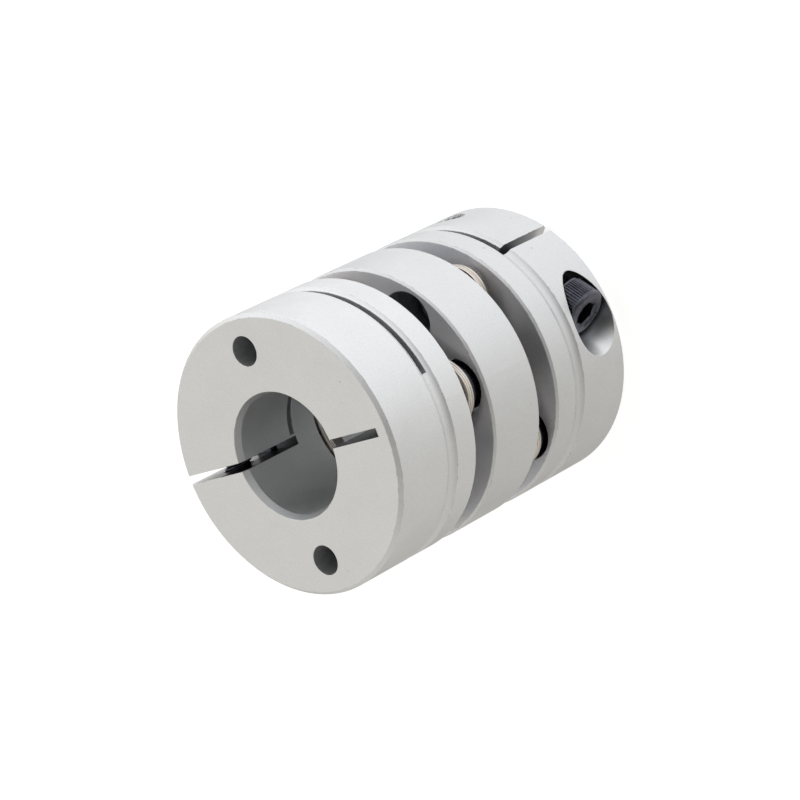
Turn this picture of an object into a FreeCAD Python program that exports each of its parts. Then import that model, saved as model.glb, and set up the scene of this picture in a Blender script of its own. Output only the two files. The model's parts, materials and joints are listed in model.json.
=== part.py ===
import FreeCAD, Part
import os
import Sketcher

# Shaft coupling with two clamp hubs, two packs of spring discs and a spacer between them.
# It stands on the lower hub: z = 0 is that hub's end face, and the shafts' axis is +Z.
# Angles are seen from above, from +X towards +Y. The screws of the two packs take turns
# round the axis every 45 degrees, and +X is midway between a lower and an upper one.

SIZES = [
    # bodies turned from bar
    ("outer_diameter", 39.0),
    ("hub_length", 15.7),
    ("spacer_length", 9.8),
    ("gap_width", 3.9),
    ("hub_bore", 17.0),
    ("spacer_bore", 18.0),
    ("bore_chamfer", 0.4),
    ("bore_chamfer_depth", 1.0),
    ("inner_chamfer", 0.4),
    ("face_chamfer", 0.5),
    ("rim_chamfer", 0.3),
    # slits that free the clamping arm of a hub
    ("flange_thickness", 4.65),
    ("slit_width", 1.2),
    ("hinge_wall", 2.1),
    ("cross_slit_height", 0.9),
    ("cross_slit_tilt", 7.0),
    ("groove_radius", 1.5),
    ("groove_depth", 0.45),
    # clamping screw across the slit
    ("clamp_inset", 5.35),
    ("clamp_height", 4.7),
    ("clamp_seat", 5.2),
    ("clamp_screw_length", 12.0),
    ("clamp_screw_lift", 3.0),
    ("clamp_head_clearance", 0.5),
    # screws, the same thread and head everywhere
    ("thread_diameter", 4.0),
    ("head_diameter", 7.0),
    ("head_height", 4.0),
    ("head_edge", 0.35),
    ("key_width", 3.0),
    ("key_depth", 2.2),
    ("tip_chamfer", 0.5),
    ("disc_screw_length", 8.0),
    ("thread_clearance", 0.05),
    ("thread_end_clearance", 0.3),
    ("shank_clearance", 0.2),
    # disc packs and what they are held by
    ("screw_inset", 4.8),
    ("leaf_thickness", 0.4),
    ("leaf_corner_radius", 4.65),
    ("leaf_corner_inset", 0.8),
    ("leaf_bore", 19.6),
    ("collar_diameter", 7.0),
    ("collar_chamfer", 0.25),
    ("washer_thickness", 0.35),
    ("washer_chamfer", 0.1),
    ("disc_head_clearance", 0.5),
    ("head_end_clearance", 0.35),
    ("access_hole", 4.2),
]

LEAVES_PER_PACK = 3
SCREWS_PER_PACK = 4
UPPER_HUB_TURN = 22.5
LOWER_HUB_TURN = -112.5
UPPER_PACK_TURN = 22.5
LOWER_PACK_TURN = 67.5

# Expressions that several pieces share.
OUTER_RADIUS = "Sizes.outer_diameter / 2"
PITCH_RADIUS = "(%s - Sizes.screw_inset)" % OUTER_RADIUS
CLAMP_OFFSET = "(%s - Sizes.clamp_inset)" % OUTER_RADIUS
TOTAL_LENGTH = "2 * Sizes.hub_length + 2 * Sizes.gap_width + Sizes.spacer_length"
PACK_THICKNESS = "%d * Sizes.leaf_thickness" % LEAVES_PER_PACK
COLLAR_THICKNESS = "(Sizes.gap_width - %s) / 2" % PACK_THICKNESS
SLIT_FLOOR = "Sizes.hub_length - Sizes.flange_thickness"
HEAD_HOLE_RADIUS = "Sizes.head_diameter / 2 + Sizes.disc_head_clearance"
THREAD_HOLE_RADIUS = "Sizes.thread_diameter / 2 + Sizes.thread_clearance"
SHANK_HOLE_RADIUS = "Sizes.thread_diameter / 2 + Sizes.shank_clearance"
THREAD_DEPTH = (
    "Sizes.disc_screw_length - Sizes.washer_thickness - %s - %s + Sizes.thread_end_clearance"
    % (PACK_THICKNESS, COLLAR_THICKNESS)
)
HEAD_SINK = (
    "Sizes.washer_thickness + Sizes.head_height + Sizes.head_end_clearance - (%s)" % COLLAR_THICKNESS
)

doc = FreeCAD.newDocument("disc_coupling")
sheet = doc.addObject("Spreadsheet::Sheet", "Sizes")
for row, (name, value) in enumerate(SIZES, start=1):
    sheet.set("A%d" % row, name)
    sheet.set("B%d" % row, str(value))
    sheet.setAlias("B%d" % row, name)
doc.recompute()

bodies = []


def originFeature(body, role):
    return next(item for item in body.Origin.OriginFeatures if item.Role == role)


def newBody(label):
    body = doc.addObject("PartDesign::Body", label)
    body.Label = label
    bodies.append(body)
    return body


def newSketch(body, name, plane="XY_Plane", offset=None):
    """A sketch on one of the body's own origin planes, set off along that plane's normal."""
    sketch = body.newObject("Sketcher::SketchObject", name)
    sketch.AttachmentSupport = [(originFeature(body, plane), "")]
    sketch.MapMode = "FlatFace"
    if offset:
        sketch.setExpression(".AttachmentOffset.Base.z", offset)
    return sketch


def pinPoint(sketch, geometry, point, across, up):
    """Hold a point of the sketch at two expressions. A leading minus puts it on the other side."""
    for kind, axis, expression in (("DistanceX", -2, across), ("DistanceY", -1, up)):
        if expression == "0":
            sketch.addConstraint(Sketcher.Constraint("PointOnObject", geometry, point, axis))
            continue
        place = sketch.getPoint(geometry, point)
        distance = abs(place.x if kind == "DistanceX" else place.y)
        ends = (-1, 1, geometry, point)
        if expression.startswith("-"):
            ends = (geometry, point, -1, 1)
            expression = expression[1:]
        index = sketch.addConstraint(Sketcher.Constraint(kind, *ends, distance))
        sketch.setExpression("Constraints[%d]" % index, expression)


def drawOutline(sketch, corners):
    """A closed outline of straight lines. Each corner is a pair of expressions."""
    starts = []
    for number, (across, up) in enumerate(corners):
        side_x = -1 if across.startswith("-") else 1
        side_y = -1 if up.startswith("-") else 1
        starts.append(FreeCAD.Vector(side_x * (20 + number), side_y * (20 + number % 3), 0))
    count = len(corners)
    for number in range(count):
        sketch.addGeometry(Part.LineSegment(starts[number], starts[(number + 1) % count]))
    for number in range(count):
        sketch.addConstraint(Sketcher.Constraint("Coincident", number, 2, (number + 1) % count, 1))
    for number, (across, up) in enumerate(corners):
        pinPoint(sketch, number, 1, across, up)


def drawCircle(sketch, radius, across="0", up="0"):
    side_x = -1 if across.startswith("-") else 1
    side_y = -1 if up.startswith("-") else 1
    centre = FreeCAD.Vector(side_x * 10, side_y * 10, 0)
    circle = sketch.addGeometry(Part.Circle(centre, FreeCAD.Vector(0, 0, 1), 2))
    pinPoint(sketch, circle, 3, across, up)
    index = sketch.addConstraint(Sketcher.Constraint("Radius", circle, 2))
    sketch.setExpression("Constraints[%d]" % index, radius)


def drawHexagon(sketch, width):
    """A regular hexagon about the origin, with its flats above and below."""
    corner = FreeCAD.Vector(1.7, 0, 0)
    turned = [FreeCAD.Rotation(FreeCAD.Vector(0, 0, 1), 60 * step).multVec(corner) for step in range(6)]
    for step in range(6):
        sketch.addGeometry(Part.LineSegment(turned[step], turned[(step + 1) % 6]))
    circle = sketch.addGeometry(Part.Circle(FreeCAD.Vector(0, 0, 0), FreeCAD.Vector(0, 0, 1), 1.7), True)
    sketch.addConstraint(Sketcher.Constraint("Coincident", circle, 3, -1, 1))
    for step in range(6):
        sketch.addConstraint(Sketcher.Constraint("Coincident", step, 2, (step + 1) % 6, 1))
        sketch.addConstraint(Sketcher.Constraint("PointOnObject", step, 1, circle))
        if step:
            sketch.addConstraint(Sketcher.Constraint("Equal", 0, step))
    sketch.addConstraint(Sketcher.Constraint("PointOnObject", 0, 1, -1))
    index = sketch.addConstraint(Sketcher.Constraint("Diameter", circle, 3.4))
    sketch.setExpression("Constraints[%d]" % index, "%s / cos(30)" % width)


def revolve(body, kind, sketch):
    feature = body.newObject(kind, sketch.Name + "_turned")
    feature.Profile = sketch
    feature.ReferenceAxis = (sketch, ["V_Axis"])
    feature.Angle = 360
    return feature


def pocket(body, sketch, depth=None, backwards=False):
    """Cut against the sketch's normal, or along it if backwards; right through without a depth."""
    feature = body.newObject("PartDesign::Pocket", sketch.Name + "_cut")
    feature.Profile = sketch
    feature.Reversed = backwards
    if depth:
        feature.setExpression("Length", depth)
    else:
        feature.Type = "ThroughAll"
    return feature


def repeatAround(body, feature, count):
    pattern = body.newObject("PartDesign::PolarPattern", feature.Name + "_ring")
    pattern.Originals = [feature]
    pattern.Axis = (originFeature(body, "Z_Axis"), [""])
    pattern.Angle = 360
    pattern.Occurrences = count
    body.Tip = pattern
    return pattern


def place(body, height, angle=0, upside_down=False, radius=None):
    """Turn the body about +Z, tip it over if asked, and set it at a height and on a circle."""
    tip = FreeCAD.Rotation(FreeCAD.Vector(1, 0, 0), 180 if upside_down else 0)
    turn = FreeCAD.Rotation(FreeCAD.Vector(0, 0, 1), angle)
    body.Placement = FreeCAD.Placement(FreeCAD.Vector(0, 0, 0), turn.multiply(tip))
    body.setExpression(".Placement.Base.z", height)
    if radius:
        body.setExpression(".Placement.Base.x", "%s * cos(%g)" % (radius, angle))
        body.setExpression(".Placement.Base.y", "%s * sin(%g)" % (radius, angle))


def turnRing(body, length, bore, outer_edges, bore_edges):
    """A turned ring on z = 0 with its four edges chamfered, each pair given bottom then top.

    A chamfer of the bore is given by its width and its depth.
    """
    bore_radius = "Sizes.%s / 2" % bore
    low_rim, high_rim = outer_edges
    (low_bore, low_depth), (high_bore, high_depth) = bore_edges
    sketch = newSketch(body, body.Label + "_section", "XZ_Plane")
    drawOutline(sketch, [
        ("%s + Sizes.%s" % (bore_radius, low_bore), "0"),
        ("%s - Sizes.%s" % (OUTER_RADIUS, low_rim), "0"),
        (OUTER_RADIUS, "Sizes.%s" % low_rim),
        (OUTER_RADIUS, "Sizes.%s - Sizes.%s" % (length, high_rim)),
        ("%s - Sizes.%s" % (OUTER_RADIUS, high_rim), "Sizes.%s" % length),
        ("%s + Sizes.%s" % (bore_radius, high_bore), "Sizes.%s" % length),
        (bore_radius, "Sizes.%s - Sizes.%s" % (length, high_depth)),
        (bore_radius, "Sizes.%s" % low_depth),
    ])
    revolve(body, "PartDesign::Revolution", sketch)


def cutGroove(body):
    """Shallow round-bottomed groove that rings the hub, with the cross slit along its middle."""
    sketch = newSketch(body, body.Label + "_groove", "XZ_Plane")
    drawCircle(
        sketch,
        "Sizes.groove_radius",
        "%s + Sizes.groove_radius - Sizes.groove_depth" % OUTER_RADIUS,
        SLIT_FLOOR + " - Sizes.cross_slit_height / 2",
    )
    revolve(body, "PartDesign::Groove", sketch)


def cutSlits(body):
    """The slit through one wall, the relief slit opposite it and the slit that crosses them."""
    past_rim = "%s + 1" % OUTER_RADIUS
    half_slit = "Sizes.slit_width / 2"
    hinge = "%s - Sizes.hinge_wall" % OUTER_RADIUS
    lengthwise = newSketch(body, body.Label + "_slit", offset=SLIT_FLOOR)
    drawOutline(lengthwise, [
        ("-(%s)" % past_rim, "-(%s)" % half_slit),
        (hinge, "-(%s)" % half_slit),
        (hinge, half_slit),
        ("-(%s)" % past_rim, half_slit),
    ])
    pocket(body, lengthwise)
    cross = newSketch(body, body.Label + "_cross_slit", offset=SLIT_FLOOR)
    far_end = "2 * (%s) * tan(Sizes.cross_slit_tilt) - %s" % (past_rim, half_slit)
    drawOutline(cross, [
        ("-(%s)" % past_rim, "-(%s)" % past_rim),
        (past_rim, "-(%s)" % past_rim),
        (past_rim, "-(%s)" % far_end),
        ("-(%s)" % past_rim, half_slit),
    ])
    pocket(body, cross, "Sizes.cross_slit_height")


def drillFlange(body):
    """Two threaded holes in line with the slit, two sunk holes for screw heads square to it.

    The threads run a little past the slits' floor, where the screws' tips come out.
    """
    threaded = newSketch(body, body.Label + "_thread", offset="Sizes.hub_length")
    drawCircle(threaded, THREAD_HOLE_RADIUS, PITCH_RADIUS, "0")
    repeatAround(body, pocket(body, threaded, THREAD_DEPTH), 2)
    sunk = newSketch(body, body.Label + "_head_hole", offset="Sizes.hub_length")
    drawCircle(sunk, HEAD_HOLE_RADIUS, "0", PITCH_RADIUS)
    repeatAround(body, pocket(body, sunk, HEAD_SINK), 2)
    access = newSketch(body, body.Label + "_access_hole", offset="Sizes.hub_length")
    drawCircle(access, "Sizes.access_hole / 2", "0", PITCH_RADIUS)
    repeatAround(body, pocket(body, access), 2)


def drillClamp(body):
    """Thread in the arm, clearance hole and counterbore in the fixed half, all on one line."""
    line = ("-" + CLAMP_OFFSET, "Sizes.clamp_height")
    thread = newSketch(body, body.Label + "_clamp_thread", "XZ_Plane")
    drawCircle(thread, THREAD_HOLE_RADIUS, *line)
    pocket(body, thread, backwards=True)
    shank = newSketch(body, body.Label + "_clamp_shank", "XZ_Plane")
    drawCircle(shank, SHANK_HOLE_RADIUS, *line)
    pocket(body, shank)
    head = newSketch(body, body.Label + "_clamp_head", "XZ_Plane", offset="-Sizes.clamp_seat")
    drawCircle(head, "Sizes.head_diameter / 2 + Sizes.clamp_head_clearance", *line)
    pocket(body, head)


def makeHub(label):
    """End face on z = 0, flange above, slit towards -X and the clamping arm on the -Y side."""
    body = newBody(label)
    turnRing(
        body,
        "hub_length",
        "hub_bore",
        ("face_chamfer", "rim_chamfer"),
        (("bore_chamfer", "bore_chamfer_depth"), ("inner_chamfer", "inner_chamfer")),
    )
    cutGroove(body)
    cutSlits(body)
    drillFlange(body)
    drillClamp(body)
    return body


def drawRingHoles(sketch, radius, angles):
    for angle in angles:
        across = "%s * cos(%d)" % (PITCH_RADIUS, angle)
        up = "%s * sin(%d)" % (PITCH_RADIUS, angle)
        if angle == 0:
            up = "0"
        if angle == 90:
            across = "0"
        if angle > 90:
            across = "-%s * cos(%d)" % (PITCH_RADIUS, 180 - angle)
        drawCircle(sketch, radius, across, up)


def makeSpacer():
    """Plain ring. From its own +X, heads pass through at 0 and 45 degrees, threads are at 90 and 135."""
    body = newBody("centre_spacer")
    turnRing(
        body,
        "spacer_length",
        "spacer_bore",
        ("rim_chamfer", "rim_chamfer"),
        (("inner_chamfer", "inner_chamfer"), ("inner_chamfer", "inner_chamfer")),
    )
    heads = newSketch(body, "spacer_head_hole", offset="Sizes.spacer_length")
    drawRingHoles(heads, HEAD_HOLE_RADIUS, (0, 45))
    repeatAround(body, pocket(body, heads), 2)
    threads = newSketch(body, "spacer_thread", offset="Sizes.spacer_length")
    drawRingHoles(threads, THREAD_HOLE_RADIUS, (90, 135))
    repeatAround(body, pocket(body, threads), 2)
    return body


def makeScrew(label, length):
    """Socket head cap screw. Its tip is on z = 0 and its head is on top."""
    body = newBody(label)
    sketch = newSketch(body, label + "_section", "XZ_Plane")
    length = "Sizes.%s" % length
    shank = "Sizes.thread_diameter / 2"
    head = "Sizes.head_diameter / 2"
    drawOutline(sketch, [
        ("0", "0"),
        ("%s - Sizes.tip_chamfer" % shank, "0"),
        (shank, "Sizes.tip_chamfer"),
        (shank, length),
        (head, length),
        (head, "%s + Sizes.head_height - Sizes.head_edge" % length),
        ("%s - Sizes.head_edge" % head, "%s + Sizes.head_height" % length),
        ("0", "%s + Sizes.head_height" % length),
    ])
    revolve(body, "PartDesign::Revolution", sketch)
    key = newSketch(body, label + "_key", offset="%s + Sizes.head_height" % length)
    drawHexagon(key, "Sizes.key_width")
    pocket(body, key, "Sizes.key_depth")
    return body


def makeRing(label, thickness, chamfer):
    """Collar or washer on a screw, with both outer edges broken."""
    body = newBody(label)
    sketch = newSketch(body, label + "_section", "XZ_Plane")
    outer = "Sizes.collar_diameter / 2"
    drawOutline(sketch, [
        (SHANK_HOLE_RADIUS, "0"),
        ("%s - %s" % (outer, chamfer), "0"),
        (outer, chamfer),
        (outer, "%s - %s" % (thickness, chamfer)),
        ("%s - %s" % (outer, chamfer), thickness),
        (SHANK_HOLE_RADIUS, thickness),
    ])
    revolve(body, "PartDesign::Revolution", sketch)
    return body


def makeLeaf(label):
    """One spring disc: a square with rounded corners, a screw hole in each, and a round bore."""
    body = newBody(label)
    outline = newSketch(body, label + "_outline")
    corner = "%s - Sizes.leaf_corner_inset + Sizes.leaf_corner_radius * sqrt(2)" % PITCH_RADIUS
    drawOutline(outline, [(corner, "0"), ("0", corner), ("-(%s)" % corner, "0"), ("0", "-(%s)" % corner)])
    plate = body.newObject("PartDesign::Pad", label + "_plate")
    plate.Profile = outline
    plate.setExpression("Length", "Sizes.leaf_thickness")
    doc.recompute()
    upright = [
        "Edge%d" % number
        for number, edge in enumerate(plate.Shape.Edges, start=1)
        if abs(edge.tangentAt(edge.FirstParameter).z) > 0.5
    ]
    rounding = body.newObject("PartDesign::Fillet", label + "_corners")
    rounding.Base = (plate, upright)
    rounding.setExpression("Radius", "Sizes.leaf_corner_radius")
    bore = newSketch(body, label + "_bore", offset="Sizes.leaf_thickness")
    drawCircle(bore, "Sizes.leaf_bore / 2")
    pocket(body, bore)
    hole = newSketch(body, label + "_screw_hole", offset="Sizes.leaf_thickness")
    drawCircle(hole, SHANK_HOLE_RADIUS, PITCH_RADIUS, "0")
    repeatAround(body, pocket(body, hole), SCREWS_PER_PACK)
    return body


def placeClampScrew(body, hub_turn, upside_down):
    """Lay the screw across the hub's slit. With no shaft in the bore it stands off its seat."""
    hub_turn_about_axis = FreeCAD.Rotation(FreeCAD.Vector(0, 0, 1), hub_turn)
    tip_over = FreeCAD.Rotation(FreeCAD.Vector(1, 0, 0), 180 if upside_down else 0)
    lay_down = FreeCAD.Rotation(FreeCAD.Vector(1, 0, 0), -90)
    body.Placement = FreeCAD.Placement(
        FreeCAD.Vector(0, 0, 0), hub_turn_about_axis.multiply(tip_over).multiply(lay_down)
    )
    tip = "(Sizes.clamp_seat + Sizes.clamp_screw_lift - Sizes.clamp_screw_length)"
    height = "Sizes.clamp_height"
    if upside_down:
        tip = "(Sizes.clamp_screw_length - Sizes.clamp_seat - Sizes.clamp_screw_lift)"
        height = "%s - Sizes.clamp_height" % TOTAL_LENGTH
    across = "-%s * cos(%g) - %s * sin(%g)" % (CLAMP_OFFSET, hub_turn, tip, hub_turn)
    along = "-%s * sin(%g) + %s * cos(%g)" % (CLAMP_OFFSET, hub_turn, tip, hub_turn)
    body.setExpression(".Placement.Base.x", across)
    body.setExpression(".Placement.Base.y", along)
    body.setExpression(".Placement.Base.z", height)


def makePack(side, floor, first_angle, hub_above):
    """Leaves, screws, collars and washers in one gap, whose lower face is at the height floor."""
    for number in range(LEAVES_PER_PACK):
        leaf = makeLeaf("%s_disc_leaf_%d" % (side, number + 1))
        height = "%s + %s + %d * Sizes.leaf_thickness" % (floor, COLLAR_THICKNESS, number)
        place(leaf, height, first_angle)
    for number in range(SCREWS_PER_PACK):
        angle = first_angle + number * 360 / SCREWS_PER_PACK
        held_by_hub = number % 2 == 0
        head_down = held_by_hub if hub_above else not held_by_hub
        name = "%s_%%s_%d" % (side, number + 1)
        screw = makeScrew(name % "disc_screw", "disc_screw_length")
        collar = makeRing(name % "disc_collar", COLLAR_THICKNESS, "Sizes.collar_chamfer")
        washer = makeRing(name % "head_washer", "Sizes.washer_thickness", "Sizes.washer_chamfer")
        pack_bottom = "%s + %s" % (floor, COLLAR_THICKNESS)
        pack_top = "%s + %s" % (pack_bottom, PACK_THICKNESS)
        if head_down:
            collar_height = pack_top
            washer_height = "%s - Sizes.washer_thickness" % pack_bottom
            screw_height = "%s + Sizes.disc_screw_length" % washer_height
        else:
            collar_height = floor
            washer_height = pack_top
            screw_height = "%s + Sizes.washer_thickness - Sizes.disc_screw_length" % washer_height
        place(screw, screw_height, angle, head_down, PITCH_RADIUS)
        place(collar, collar_height, angle, radius=PITCH_RADIUS)
        place(washer, washer_height, angle, radius=PITCH_RADIUS)


lower_hub = makeHub("lower_clamp_hub")
place(lower_hub, "0", LOWER_HUB_TURN)
upper_hub = makeHub("upper_clamp_hub")
place(upper_hub, TOTAL_LENGTH, UPPER_HUB_TURN, upside_down=True)
spacer = makeSpacer()
place(spacer, "Sizes.hub_length + Sizes.gap_width", UPPER_PACK_TURN)

lower_screw = makeScrew("lower_clamp_screw", "clamp_screw_length")
placeClampScrew(lower_screw, LOWER_HUB_TURN, upside_down=False)
upper_screw = makeScrew("upper_clamp_screw", "clamp_screw_length")
placeClampScrew(upper_screw, UPPER_HUB_TURN, upside_down=True)

upper_gap_floor = "Sizes.hub_length + Sizes.gap_width + Sizes.spacer_length"
makePack("lower", "Sizes.hub_length", LOWER_PACK_TURN, hub_above=False)
makePack("upper", upper_gap_floor, UPPER_PACK_TURN, hub_above=True)

doc.recompute()

failed = [item.Label for item in doc.Objects if {"Invalid", "Error"} & set(item.State)]
if failed:
    raise RuntimeError("these did not recompute: " + ", ".join(failed))
for body in bodies:
    if body.Shape.isNull() or not body.Shape.isValid() or len(body.Shape.Solids) != 1:
        raise RuntimeError("not one sound solid: " + body.Label)

os.makedirs("parts", exist_ok=True)
for body in bodies:
    body.Shape.exportStep(os.path.join("parts", body.Label + ".step"))
    print("%-24s %10.2f mm3" % (body.Label, body.Shape.Volume))
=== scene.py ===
import json
import math

import bmesh
import bpy
from mathutils import Matrix, Vector


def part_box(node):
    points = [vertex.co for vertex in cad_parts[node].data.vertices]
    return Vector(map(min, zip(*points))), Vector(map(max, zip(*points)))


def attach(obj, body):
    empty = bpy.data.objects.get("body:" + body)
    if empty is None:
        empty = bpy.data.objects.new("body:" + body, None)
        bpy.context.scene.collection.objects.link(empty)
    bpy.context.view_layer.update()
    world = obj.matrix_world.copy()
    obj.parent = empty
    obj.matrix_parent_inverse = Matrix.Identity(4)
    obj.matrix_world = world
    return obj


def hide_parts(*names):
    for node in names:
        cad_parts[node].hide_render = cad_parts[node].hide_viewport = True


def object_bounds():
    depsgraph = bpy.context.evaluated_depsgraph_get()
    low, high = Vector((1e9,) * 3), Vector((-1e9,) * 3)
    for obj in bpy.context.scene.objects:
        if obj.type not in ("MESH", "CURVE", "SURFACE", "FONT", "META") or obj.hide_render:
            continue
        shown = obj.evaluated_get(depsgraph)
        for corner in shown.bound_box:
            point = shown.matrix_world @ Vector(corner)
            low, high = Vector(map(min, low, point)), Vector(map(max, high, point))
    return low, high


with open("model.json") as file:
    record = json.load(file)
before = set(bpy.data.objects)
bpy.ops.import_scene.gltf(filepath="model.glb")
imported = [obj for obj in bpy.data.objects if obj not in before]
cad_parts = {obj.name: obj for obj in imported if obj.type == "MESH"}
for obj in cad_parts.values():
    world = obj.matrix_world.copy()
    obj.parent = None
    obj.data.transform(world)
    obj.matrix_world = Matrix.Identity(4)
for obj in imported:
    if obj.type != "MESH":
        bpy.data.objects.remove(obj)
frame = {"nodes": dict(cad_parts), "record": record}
cadBounds = [list(corner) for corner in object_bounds()]
mm = 0.001
record = frame["record"]
materialNames = {row["node"]: row["material_slot"] for row in record["subparts"]}

# sizes in millimetres that the pieces share, from the frame
couplingLength = round(cadBounds[1][2] / mm, 3)
outerRadius = round(cadBounds[1][0] / mm, 3)
hubLength = round(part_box("lower_clamp_hub")[1].z / mm, 3)
hubTurns = {"lower": -112.5, "upper": 22.5}  # of each hub's drawing, in degrees


# Camera

cameraSet = {
    "target": (0.000154, -0.000255, 0.025436),
    "distance": 0.457065,
    "azimuth": 31.1919,
    "elevation": 44.993,
    "roll": -117.1142,
    "lens": 152.0,
    "nearClip": 0.01,
    "farClip": 20.0,
}


def addCamera():
    s = cameraSet
    camera = bpy.data.cameras.new("productCamera")
    camera.lens = s["lens"]
    camera.clip_start = s["nearClip"]
    camera.clip_end = s["farClip"]
    holder = bpy.data.objects.new("productCamera", camera)
    bpy.context.scene.collection.objects.link(holder)
    turn = Matrix.Rotation(math.radians(90 + s["azimuth"]), 4, "Z")
    turn = turn @ Matrix.Rotation(math.radians(90 - s["elevation"]), 4, "X")
    turn = turn @ Matrix.Rotation(math.radians(s["roll"]), 4, "Z")
    right, up, back = (turn.col[index].to_3d() for index in range(3))
    place = Vector(s["target"]) + s["distance"] * back
    holder.matrix_world = Matrix.Translation(place) @ turn
    bpy.context.scene.camera = holder
    return right, up, back


cameraRight, cameraUp, cameraBack = addCamera()
print("camera set")


# Floor and light

stageSet = {
    "floorHalf": 3.0,
    "floorDrop": 0.00001,
    "floorColour": (0.40, 0.40, 0.40, 1),
    "floorRoughness": 0.9,
    "floorGlow": 0.80,
    "tentLow": 0.775,  # strength of the light tent below and above, as the picture is seen
    "tentHigh": 1.36,
    "tentSpan": (-0.10, 0.75),
    # the side of the tent, where along it a change sets in and ends, and the change
    "tentChanges": (
        ("front", (0, 1), -0.32),  # the tent is open where the camera looks in
        ("front", (0.7, 1), -0.22),
        ("front", (-0.55, -1), -0.38),
        ("right", (0, -0.9), 0.14),
    ),
    "tintSpan": (-0.35, 0.75),
    "warmBelow": (1.0, 0.968, 0.903, 1),
    "coolAbove": (0.99, 0.987, 0.99, 1),
}


def addFloor():
    mesh = bpy.data.meshes.new("paleFloor")
    bm = bmesh.new()
    bmesh.ops.create_grid(bm, x_segments=1, y_segments=1, size=stageSet["floorHalf"])
    bmesh.ops.translate(bm, verts=bm.verts, vec=(0, 0, -stageSet["floorDrop"]))
    bm.to_mesh(mesh)
    bm.free()
    material = bpy.data.materials.new("paleFloor")
    material.use_nodes = True
    shader = material.node_tree.nodes["Principled BSDF"]
    shader.inputs["Base Color"].default_value = stageSet["floorColour"]
    shader.inputs["Roughness"].default_value = stageSet["floorRoughness"]
    shader.inputs["Emission Color"].default_value = (1, 1, 1, 1)
    shader.inputs["Emission Strength"].default_value = stageSet["floorGlow"]
    mesh.materials.append(material)
    floor = bpy.data.objects.new("paleFloor", mesh)
    bpy.context.scene.collection.objects.link(floor)
    floor.visible_diffuse = False  # the tent lights the coupling from below too
    floor.visible_glossy = False


def alongAxis(tree, direction, axis):
    dot = tree.nodes.new("ShaderNodeVectorMath")
    dot.operation = "DOT_PRODUCT"
    dot.inputs[1].default_value = axis
    tree.links.new(direction, dot.inputs[0])
    return dot.outputs["Value"]


def addMath(tree, operation, first, second=None):
    step = tree.nodes.new("ShaderNodeMath")
    step.operation = operation
    for socket, value in zip(step.inputs, (first, second)):
        if isinstance(value, (int, float)):
            socket.default_value = value
        elif value is not None:
            tree.links.new(value, socket)
    return step.outputs["Value"]


def spreadOver(tree, value, span, ends, smooth=False):
    spread = tree.nodes.new("ShaderNodeMapRange")
    spread.interpolation_type = "SMOOTHSTEP" if smooth else "LINEAR"
    for name, number in zip(("From Min", "From Max", "To Min", "To Max"), (*span, *ends)):
        spread.inputs[name].default_value = number
    tree.links.new(value, spread.inputs["Value"])
    return spread.outputs["Result"]


def addLightTent():
    s = stageSet
    world = bpy.data.worlds.new("lightTent")
    world.use_nodes = True
    tree = world.node_tree
    direction = tree.nodes.new("ShaderNodeTexCoord").outputs["Generated"]
    height = alongAxis(tree, direction, cameraUp)
    sides = {
        "front": alongAxis(tree, direction, cameraBack),
        "right": alongAxis(tree, direction, cameraRight),
    }
    strength = spreadOver(tree, height, s["tentSpan"], (s["tentLow"], s["tentHigh"]), True)
    for side, span, change in s["tentChanges"]:
        strength = addMath(tree, "ADD", strength, spreadOver(tree, sides[side], span, (0, change)))
    tint = tree.nodes.new("ShaderNodeMix")
    tint.data_type = "RGBA"
    tint.inputs["A"].default_value = s["warmBelow"]
    tint.inputs["B"].default_value = s["coolAbove"]
    tree.links.new(spreadOver(tree, height, s["tintSpan"], (0, 1)), tint.inputs["Factor"])
    background = tree.nodes["Background"]
    tree.links.new(tint.outputs["Result"], background.inputs["Color"])
    tree.links.new(strength, background.inputs["Strength"])
    bpy.context.scene.world = world


addFloor()
addLightTent()
bpy.context.scene.view_settings.view_transform = "Standard"
print("floor and lights set")


# Materials

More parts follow.
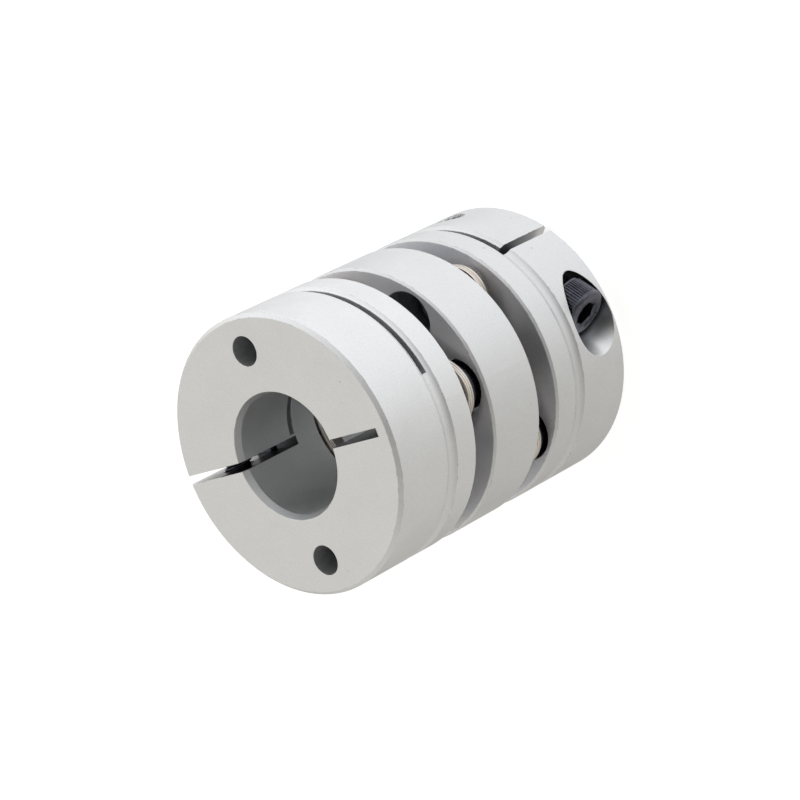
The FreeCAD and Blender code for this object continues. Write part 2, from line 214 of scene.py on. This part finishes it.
# a noise is given by its scale, detail and roughness, and a span is where it acts
finishSet = {
    "blastedAluminium": {
        "colour": (0.742, 0.755, 0.766),
        "roughness": (0.46, 0.54),
        "sawnRoughness": 0.32,
        "grain": (5200, 3, 0.6),
        "grainSpan": (0.25, 0.75),
        "grainShades": (0.92, 1.06),
        "mottle": (160, 4, 0.55),
        "mottleSpan": (0.30, 0.70),
        "mottleColour": (0.93, 0.93, 0.935, 1),
        "speck": (900, 2, 0.6),
        "speckSpan": (0.72, 0.78),
        "speckColour": (0.40, 0.40, 0.395, 1),
        "speckShare": 0.25,
        "gapSkin": 0.1,
        "gapLight": (1.16, 1.16, 1.19),  # painted light: the faces in the gaps are brightened and tinted blue
        "facing": 0.9,
        "edgeSpan": (0.998, 0.95),
        "nick": (800, 3, 0.6),
        "nickSpan": (0.54, 0.64),
        "nickColour": (0.36, 0.35, 0.34, 1),
        # painted highlight: a light line along the edges between the nicks
        "edgeHighlightColour": (0.93, 0.93, 0.93, 1),
        "edgeHighlightShare": 0.5,
        "bump": 0.12,
        "bumpDepth": 0.00003,
        "edge": 0.00012,
    },
    "springSteel": {
        "colour": (0.33, 0.285, 0.25, 1),
        "paler": (0.90, 0.855, 0.79, 1),
        "roughness": (0.22, 0.34),
        "streak": (160, 160, 9000),
        "bump": 0.05,
        "bumpDepth": 0.00001,
        "edge": 0.00003,
    },
    # painted shade: this steel's colour is made dark, as the collars by the leaves sit in shade between the
    # flanges
    "shadedTurnedSteel": {
        "colour": (0.20, 0.185, 0.17, 1),
        "paler": (0.32, 0.30, 0.28, 1),
        "roughness": (0.22, 0.34),
        "streak": (700, 700, 9000),
        "bump": 0.06,
        "bumpDepth": 0.00001,
        "edge": 0.00006,
    },
    "blackOxide": {
        "colour": (0.061, 0.063, 0.081, 1),
        "paler": (0.127, 0.129, 0.157, 1),
        "roughness": (0.24, 0.36),
        "streak": (1800, 1800, 1800),
        "bump": 0.10,
        "bumpDepth": 0.00001,
        "edge": 0.00005,
    },
}

shadingSet = {
    "noiseSpan": (0.3, 0.7),  # where nearly all of a noise's values lie
    "streak": (1.0, 4, 0.6),
    "streakSpan": (0.30, 0.72),
    "cloud": (420, 3, 0.5),
    "white": (1, 1, 1, 1),
    "edgeSamples": 4,
}


def startMaterial(name):
    material = bpy.data.materials.new(name)
    material.use_nodes = True
    tree = material.node_tree
    shader = tree.nodes["Principled BSDF"]
    shader.inputs["Metallic"].default_value = 1.0
    coordinates = tree.nodes.new("ShaderNodeTexCoord")
    return material, tree, shader, coordinates.outputs["Object"]


def addNoise(tree, vector, scale, detail, roughness):
    noise = tree.nodes.new("ShaderNodeTexNoise")
    noise.inputs["Scale"].default_value = scale
    noise.inputs["Detail"].default_value = detail
    noise.inputs["Roughness"].default_value = roughness
    tree.links.new(vector, noise.inputs["Vector"])
    return noise.outputs["Fac"]


def addRamp(tree, value, span, colours):
    ramp = tree.nodes.new("ShaderNodeValToRGB")
    for stop, position, colour in zip(ramp.color_ramp.elements, span, colours):
        stop.position = position
        stop.color = colour
    tree.links.new(value, ramp.inputs["Fac"])
    return ramp.outputs["Color"]


def addMix(tree, kind, factor, first, second):
    mix = tree.nodes.new("ShaderNodeMix")
    mix.data_type = "RGBA"
    mix.blend_type = kind
    for name, value in (("Factor", factor), ("A", first), ("B", second)):
        if isinstance(value, bpy.types.NodeSocket):
            tree.links.new(value, mix.inputs[name])
        else:
            mix.inputs[name].default_value = value
    return mix.outputs["Result"]


def addSoftEdge(tree, values):
    rounded = tree.nodes.new("ShaderNodeBevel")
    rounded.samples = shadingSet["edgeSamples"]
    rounded.inputs["Radius"].default_value = values["edge"]
    return rounded.outputs["Normal"]


def addEdgeNicksAndHighlight(tree, place, values):
    # two masks: the small nicks along the edges, and a painted highlight along the edge between them
    # an edge is where the rounded normal leaves the flat one
    plain = tree.nodes.new("ShaderNodeNewGeometry")
    likeness = tree.nodes.new("ShaderNodeVectorMath")
    likeness.operation = "DOT_PRODUCT"
    tree.links.new(addSoftEdge(tree, values), likeness.inputs[0])
    tree.links.new(plain.outputs["Normal"], likeness.inputs[1])
    nearEdge = spreadOver(tree, likeness.outputs["Value"], values["edgeSpan"], (0, 1))
    nicks = spreadOver(tree, addNoise(tree, place, *values["nick"]), values["nickSpan"], (0, 1))
    nicked = addMath(tree, "MULTIPLY", nearEdge, nicks)
    return nicked, addMath(tree, "SUBTRACT", nearEdge, nicked)


def keepWhere(tree, mask, comparison, value, limit):
    return addMath(tree, "MULTIPLY", mask, addMath(tree, comparison, value, limit))


# the clamp screw's line from the rim and from the end face, and where it stands, in millimetres
clampSet = {"inset": 5.35, "height": 4.7, "seat": 5.2, "lift": 3.0, "length": 12.0}

# the cuts of a hub, each limit a little past its cut
cutSet = {
    "slitHalf": 0.62,
    "slitEnd": 17.5,
    "slitFloor": 11.1,
    "chamferDepth": 0.99,
    "chamferRadius": 8.895,
    "boreRadius": 8.505,
    "seatRadius": 4.07,
    "seatSkin": 0.1,
    "rimSkin": 0.05,
    # painted shade: the deep part of the slit and the bore's chamfer are darkened towards this colour
    "cutShadeColour": (0.16, 0.16, 0.175, 1),
    "shadeEnd": -13.2,
    "shadeSpan": (-1, 1),
    "slitShade": (1.0, 0.6),  # painted shade in the slit, on the clamping side of the bore, and on the other
    "chamferShade": 0.17,
}


def addHubCuts(tree, place, side):
    # two masks in the hub's own millimetres: its smoother cuts, and how far painted shade darkens its slit
    # and the bore's chamfer
    s = cutSet
    mapping = tree.nodes.new("ShaderNodeMapping")
    mapping.vector_type = "TEXTURE"
    mapping.inputs["Location"].default_value = (0, 0, couplingLength * mm if side == "upper" else 0)
    flip = math.pi if side == "upper" else 0
    mapping.inputs["Rotation"].default_value = (flip, 0, math.radians(hubTurns[side]))
    mapping.inputs["Scale"].default_value = (mm, mm, mm)
    tree.links.new(place, mapping.inputs["Vector"])
    split = tree.nodes.new("ShaderNodeSeparateXYZ")
    tree.links.new(mapping.outputs["Vector"], split.inputs["Vector"])
    x, y, z = (split.outputs[name] for name in "XYZ")
    across = addMath(tree, "MULTIPLY", x, x)
    reach = addMath(tree, "SQRT", addMath(tree, "ADD", across, addMath(tree, "MULTIPLY", y, y)))

    slit = addMath(tree, "LESS_THAN", addMath(tree, "ABSOLUTE", y), s["slitHalf"])
    slit = keepWhere(tree, slit, "LESS_THAN", x, s["slitEnd"])
    slit = keepWhere(tree, slit, "LESS_THAN", z, s["slitFloor"])

    chamfer = addMath(tree, "LESS_THAN", z, s["chamferDepth"])
    chamfer = keepWhere(tree, chamfer, "LESS_THAN", reach, s["chamferRadius"])
    chamfer = keepWhere(tree, chamfer, "GREATER_THAN", reach, s["boreRadius"])

    sideways = addMath(tree, "POWER", addMath(tree, "ADD", x, outerRadius - clampSet["inset"]), 2)
    upwards = addMath(tree, "POWER", addMath(tree, "SUBTRACT", z, clampSet["height"]), 2)
    seat = addMath(tree, "LESS_THAN", addMath(tree, "ADD", sideways, upwards), s["seatRadius"] ** 2)
    seat = keepWhere(tree, seat, "GREATER_THAN", y, clampSet["seat"] - s["seatSkin"])
    seat = keepWhere(tree, seat, "LESS_THAN", reach, outerRadius - s["rimSkin"])

    shaded = keepWhere(tree, slit, "GREATER_THAN", x, s["shadeEnd"])
    shaded = addMath(tree, "MULTIPLY", shaded, spreadOver(tree, x, s["shadeSpan"], s["slitShade"]))
    chamferShade = addMath(tree, "MULTIPLY", chamfer, s["chamferShade"])
    return addMath(tree, "MAXIMUM", slit, seat), addMath(tree, "MAXIMUM", shaded, chamferShade)


def addGapFaces(tree, place, values):
    # a mask of the faces that look into the gaps, which painted light brightens
    spot = tree.nodes.new("ShaderNodeSeparateXYZ")
    tree.links.new(place, spot.inputs["Vector"])
    facing = tree.nodes.new("ShaderNodeSeparateXYZ")
    tree.links.new(tree.nodes.new("ShaderNodeTexCoord").outputs["Normal"], facing.inputs["Vector"])
    low = hubLength - values["gapSkin"]
    level = addMath(tree, "GREATER_THAN", addMath(tree, "ABSOLUTE", facing.outputs["Z"]), values["facing"])
    level = keepWhere(tree, level, "GREATER_THAN", spot.outputs["Z"], low * mm)
    return keepWhere(tree, level, "LESS_THAN", spot.outputs["Z"], (couplingLength - low) * mm)


def addRelief(tree, shader, height, values):
    bump = tree.nodes.new("ShaderNodeBump")
    bump.inputs["Strength"].default_value = values["bump"]
    bump.inputs["Distance"].default_value = values["bumpDepth"]
    tree.links.new(height, bump.inputs["Height"])
    tree.links.new(addSoftEdge(tree, values), bump.inputs["Normal"])
    tree.links.new(bump.outputs["Normal"], shader.inputs["Normal"])


def scaleColour(colour, share):
    return tuple(share * part for part in colour) + (1,)


def makeBlastedAluminium(name, values, shade, side=None):
    material, tree, shader, place = startMaterial(name)
    white = shadingSet["white"]
    grain, mottle, speck = (addNoise(tree, place, *values[noise]) for noise in ("grain", "mottle", "speck"))
    shades = [scaleColour(values["colour"], shade * part) for part in values["grainShades"]]
    colour = addRamp(tree, grain, values["grainSpan"], shades)
    tone = addRamp(tree, mottle, values["mottleSpan"], (values["mottleColour"], white))
    colour = addMix(tree, "MULTIPLY", 1.0, colour, tone)
    specks = addRamp(tree, speck, values["speckSpan"], (white, values["speckColour"]))
    colour = addMix(tree, "MULTIPLY", values["speckShare"], colour, specks)
    nicked, litEdge = addEdgeNicksAndHighlight(tree, place, values)
    colour = addMix(tree, "MULTIPLY", nicked, colour, values["nickColour"])
    # painted light: the faces that look into the gaps are brightened and tinted blue
    gapLight = scaleColour(values["gapLight"], 1 / shade)
    colour = addMix(tree, "MULTIPLY", addGapFaces(tree, place, values), colour, gapLight)
    # painted highlight along the edges between the nicks
    edgeHighlight = addMath(tree, "MULTIPLY", litEdge, values["edgeHighlightShare"])
    colour = addMix(tree, "MIX", edgeHighlight, colour, values["edgeHighlightColour"])
    roughness = spreadOver(tree, mottle, shadingSet["noiseSpan"], values["roughness"])
    if side:
        cuts, shaded = addHubCuts(tree, place, side)
        # painted shade in the slit and on the bore's chamfer
        colour = addMix(tree, "MULTIPLY", shaded, colour, cutSet["cutShadeColour"])
        smoother = addMath(tree, "SUBTRACT", roughness, values["sawnRoughness"])
        roughness = addMath(tree, "SUBTRACT", roughness, addMath(tree, "MULTIPLY", cuts, smoother))
    tree.links.new(colour, shader.inputs["Base Color"])
    tree.links.new(roughness, shader.inputs["Roughness"])
    addRelief(tree, shader, grain, values)
    return material


def makeStreakedMetal(name, values):
    material, tree, shader, place = startMaterial(name)
    stretch = tree.nodes.new("ShaderNodeMapping")
    stretch.inputs["Scale"].default_value = values["streak"]
    tree.links.new(place, stretch.inputs["Vector"])
    streak = addNoise(tree, stretch.outputs["Vector"], *shadingSet["streak"])
    cloud = addNoise(tree, place, *shadingSet["cloud"])
    colour = addRamp(tree, streak, shadingSet["streakSpan"], (values["colour"], values["paler"]))
    roughness = spreadOver(tree, cloud, shadingSet["noiseSpan"], values["roughness"])
    tree.links.new(colour, shader.inputs["Base Color"])
    tree.links.new(roughness, shader.inputs["Roughness"])
    addRelief(tree, shader, streak, values)
    return material


# painted shade: each turned piece is darkened by a share of its own, the lower hub most, as less light
# reaches it
paintedShadeSet = {"spacer": 0.94, "lower": 0.92, "upper": 1.0}

aluminium = finishSet["blastedAluminium"]
finishes = {
    "anodised_aluminium": makeBlastedAluminium("blastedAluminium", aluminium, paintedShadeSet["spacer"]),
    "spring_steel": makeStreakedMetal("springSteel", finishSet["springSteel"]),
    "stainless_steel": makeStreakedMetal("shadedTurnedSteel", finishSet["shadedTurnedSteel"]),
    "black_oxide_steel": makeStreakedMetal("blackOxide", finishSet["blackOxide"]),
}
for nodeName, node in frame["nodes"].items():
    node.data.materials[0] = finishes[materialNames[nodeName]]
for side in hubTurns:
    hubFinish = makeBlastedAluminium(side + "HubAluminium", aluminium, paintedShadeSet[side], side)
    frame["nodes"][side + "_clamp_hub"].data.materials[0] = hubFinish
print("materials set")


# Socket head cap screws: knurled head, hexagon socket and a helical thread

screwSet = {
    "discScrewLength": 8.0,
    "majorRadius": 2.0,
    "rootRadius": 1.62,
    "pitch": 0.7,
    "stepsPerTurn": 24,
    "threadProfile": ((0, 0.04), (1, 0.28), (1, 0.42), (0, 0.66)),  # root or crest, and height
    "threadRootSink": 0.05,
    "threadStart": 0.05,
    "threadRunOut": 0.35,
    "shankSegments": 36,
    "tipRadius": 1.5,
    "tipCone": 0.35,
    "neckLength": 0.6,
    "neckCone": 0.12,
    "neckStep": 0.1,
    "neckFoot": 0.2,
    "headRadius": 3.5,
    "headHeight": 4.0,
    "teeth": 54,
    "toothDepth": 0.20,
    "toothRamp": 0.08,
    "knurlStart": 0.45,
    "knurlEnd": 3.32,
    "edgeRadius": 0.55,
    "edgeSteps": 4,
    "footInset": 0.16,
    "mouthRadius": 2.04,
    "mouthDepth": 0.24,
    "keyHalfWidth": 1.6,
    "keyDepth": 2.2,
    "floorRadius": 1.3,
    "keyPoint": 0.45,
    "pointRadius": 0.02,
}


def pullToRadius(verts, radius, dip=0.0):
    # of each four vertices two dip in, which cuts the knurl
    for index, vert in enumerate(sorted(verts, key=lambda v: math.atan2(v.co.y, v.co.x))):
        flat = Vector((vert.co.x, vert.co.y, 0)).normalized()
        reach = radius - dip * (index % 4 > 1)
        vert.co.x, vert.co.y = flat.x * reach, flat.y * reach


def pullToHexagon(verts, halfWidth):
    for vert in verts:
        angle = math.atan2(vert.co.y, vert.co.x)
        offFlat = (angle % math.radians(60)) - math.radians(30)
        reach = halfWidth / math.cos(offFlat)
        vert.co.x, vert.co.y = math.cos(angle) * reach, math.sin(angle) * reach


def growLoop(bm, edges, height, shape):
    grown = bmesh.ops.extrude_edge_only(bm, edges=edges)["geom"]
    verts = [item for item in grown if isinstance(item, bmesh.types.BMVert)]
    edges = [item for item in grown if isinstance(item, bmesh.types.BMEdge)]
    for vert in verts:
        vert.co.z = height
    shape(verts)
    return edges


def addHead(bm, foot):
    s = screwSet
    count = 4 * s["teeth"]
    ring = bmesh.ops.create_circle(bm, segments=count, radius=s["headRadius"] - s["footInset"])["verts"]
    bmesh.ops.translate(bm, verts=ring, vec=(0, 0, foot))
    edges = list({edge for vert in ring for edge in vert.link_edges})
    growLoop(bm, edges, foot, lambda v: pullToRadius(v, s["rootRadius"]))
    top = foot + s["headHeight"]
    side = s["headRadius"]
    edge = s["edgeRadius"]
    # radius, height and depth of the knurl, from the foot to the socket's mouth
    outline = [
        (side, foot + s["footInset"], 0),
        (side, foot + s["knurlStart"] - s["toothRamp"], 0),
        (side, foot + s["knurlStart"], s["toothDepth"]),
        (side, foot + s["knurlEnd"], s["toothDepth"]),
        (side, foot + s["knurlEnd"] + s["toothRamp"], 0),
    ]
    for step in range(s["edgeSteps"] + 1):
        angle = math.radians(90 * step / s["edgeSteps"])
        outline.append((side - edge + edge * math.cos(angle), top - edge + edge * math.sin(angle), 0))
    outline.append((s["mouthRadius"], top, 0))
    for radius, height, dip in outline:
        edges = growLoop(bm, edges, height, lambda v: pullToRadius(v, radius, dip))
    keyFloor = top - s["keyDepth"]
    point = keyFloor - s["keyPoint"]
    for height in (top - s["mouthDepth"], keyFloor):
        edges = growLoop(bm, edges, height, lambda v: pullToHexagon(v, s["keyHalfWidth"]))
    for radius, height in ((s["floorRadius"], keyFloor), (s["pointRadius"], point)):
        edges = growLoop(bm, edges, height, lambda v: pullToRadius(v, radius))
    floor = list({vert for edge in edges for vert in edge.verts})
    bmesh.ops.pointmerge(bm, verts=floor, merge_co=(0, 0, point))


def addShank(bm, length):
    s = screwSet
    root = s["rootRadius"]
    major = s["majorRadius"]
    ring = bmesh.ops.create_circle(
        bm, segments=s["shankSegments"], radius=root - s["tipCone"], cap_ends=True
    )["verts"]
    edges = list({edge for vert in ring for edge in vert.link_edges})
    neck = length - s["neckLength"]
    outline = [
        (root, s["tipCone"]),
        (root, neck),
        (major - s["neckStep"], neck + s["neckCone"]),
        (major - s["neckStep"], length - s["neckFoot"]),
        (major + s["neckStep"], length),
    ]
    for radius, height in outline:
        edges = growLoop(bm, edges, height, lambda v: pullToRadius(v, radius))


def addThread(bm, start, stop, crest, root):
    s = screwSet
    pitch = s["pitch"]
    # the ridge's foot sinks into the wall that carries it
    radii = (math.copysign(s["threadRootSink"], root - crest) + root, crest)
    profile = [(radii[onCrest], start + height) for onCrest, height in s["threadProfile"]]
    verts = [bm.verts.new((radius, 0, height)) for radius, height in profile]
    face = bm.faces.new(verts)
    turns = (stop - start - pitch) / pitch
    steps = int(turns * s["stepsPerTurn"])
    bmesh.ops.spin(
        bm,
        geom=verts + list(face.edges) + [face],
        cent=(0, 0, 0),
        axis=(0, 0, 1),
        dvec=(0, 0, pitch / s["stepsPerTurn"]),
        angle=2 * math.pi * steps / s["stepsPerTurn"],
        steps=steps,
    )


def limitTip(bm):
    # the thread is cut away at 45 degrees towards the tip
    for vert in bm.verts:
        reach = math.hypot(vert.co.x, vert.co.y)
        most = screwSet["tipRadius"] + max(vert.co.z, 0)
        if reach > most:
            vert.co.x *= most / reach
            vert.co.y *= most / reach


pieceSet = {"mergeWithin": 0.0001, "sharpFrom": 35}


def finishPiece(bm, name, place, finish):
    bmesh.ops.remove_doubles(bm, verts=bm.verts, dist=pieceSet["mergeWithin"])
    bmesh.ops.recalc_face_normals(bm, faces=bm.faces)
    bmesh.ops.scale(bm, verts=bm.verts, vec=(mm, mm, mm))
    bmesh.ops.transform(bm, verts=bm.verts, matrix=place)
    for face in bm.faces:
        face.smooth = True
    for edge in bm.edges:
        if len(edge.link_faces) == 2 and edge.calc_face_angle(0) > math.radians(pieceSet["sharpFrom"]):
            edge.smooth = False
    mesh = bpy.data.meshes.new(name)
    bm.to_mesh(mesh)
    bm.free()
    mesh.materials.append(finishes[finish])
    piece = bpy.data.objects.new(name, mesh)
    bpy.context.scene.collection.objects.link(piece)
    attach(piece, "root")
    return piece


def makeCapScrew(name, length, place, node):
    s = screwSet
    bm = bmesh.new()
    addShank(bm, length)
    stop = length - s["neckLength"] + s["threadRunOut"]
    addThread(bm, s["threadStart"], stop, s["majorRadius"], s["rootRadius"])
    limitTip(bm)
    addHead(bm, length)
    piece = finishPiece(bm, name, place, "black_oxide_steel")
    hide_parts(node)


def standScrew(node, headDown):
    low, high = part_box(node)
    middle = (low + high) / 2
    if headDown:
        return Matrix.Translation((middle.x, middle.y, high.z)) @ Matrix.Rotation(math.pi, 4, "X")
    return Matrix.Translation((middle.x, middle.y, low.z))


def layClampScrew(side):
    s = clampSet
    tip = s["seat"] + s["lift"] - s["length"]
    local = Matrix.Translation(Vector((s["inset"] - outerRadius, tip, s["height"])) * mm)
    local = local @ Matrix.Rotation(-math.pi / 2, 4, "X")
    turn = Matrix.Rotation(math.radians(hubTurns[side]), 4, "Z")
    if side == "upper":
        flip = Matrix.Rotation(math.pi, 4, "X")
        return Matrix.Translation((0, 0, couplingLength * mm)) @ turn @ flip @ local
    return turn @ local


for side in hubTurns:
    for number in (1, 2, 3, 4):
        # the odd ones are screwed into the hub and the even ones into the spacer
        headDown = (number % 2 == 1) == (side == "upper")
        node = f"{side}_disc_screw_{number}"
        place = standScrew(node, headDown)
        makeCapScrew(f"{side}DiscScrew{number}", screwSet["discScrewLength"], place, node)
    makeCapScrew(f"{side}ClampScrew", clampSet["length"], layClampScrew(side), f"{side}_clamp_screw")
print("screws made")


# Thread in the clamp screws' holes

# heights are along the clamp screw, from its tip
holeThreadSet = {
    "start": -13.0,
    "stop": -0.3,
    "crest": 1.68,
    "root": 2.05,
    "exitPlace": (0, 0, -9.27),  # the thread ends in a slanted plane just inside the hub's rim
    "exitNormal": (-4.44, 0, -4.1),
    "cutWithin": 0.00001,
}


def makeHoleThread(side):
    s = holeThreadSet
    bm = bmesh.new()
    addThread(bm, s["start"], s["stop"], s["crest"], s["root"])
    everything = list(bm.verts) + list(bm.edges) + list(bm.faces)
    cut = bmesh.ops.bisect_plane(
        bm,
        geom=everything,
        dist=s["cutWithin"],
        plane_co=s["exitPlace"],
        plane_no=s["exitNormal"],
        clear_outer=True,
    )
    rims = [item for item in cut["geom_cut"] if isinstance(item, bmesh.types.BMEdge)]
    bmesh.ops.holes_fill(bm, edges=rims, sides=0)
    finishPiece(bm, side + "HoleThread", layClampScrew(side), "anodised_aluminium")


for side in hubTurns:
    makeHoleThread(side)
print("hole threads made")


# Spring leaves, each with its own broken rim, so that they part in the edge view

leafSet = {"rim": 0.08, "rimSteps": 2, "flatBelow": 0.5, "rimAbove": 60, "mergeWithin": 0.0005}


def makeSpringLeaf(name, node):
    s = leafSet
    bm = bmesh.new()
    bm.from_mesh(frame["nodes"][node].data)
    bmesh.ops.scale(bm, verts=bm.verts, vec=(1 / mm, 1 / mm, 1 / mm))
    bmesh.ops.remove_doubles(bm, verts=bm.verts, dist=s["mergeWithin"])
    flatAngle = math.radians(s["flatBelow"])
    bmesh.ops.dissolve_limit(bm, angle_limit=flatAngle, verts=bm.verts, edges=bm.edges)
    bm.normal_update()
    rims = [edge for edge in bm.edges if edge.calc_face_angle(0) > math.radians(s["rimAbove"])]
    bmesh.ops.bevel(
        bm, geom=rims, offset=s["rim"], segments=s["rimSteps"], profile=0.5, affect="EDGES", material=-1
    )
    piece = finishPiece(bm, name, Matrix.Identity(4), "spring_steel")
    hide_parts(node)


for side in hubTurns:
    for number in (1, 2, 3):
        makeSpringLeaf(f"{side}SpringLeaf{number}", f"{side}_disc_leaf_{number}")
print("leaves made")
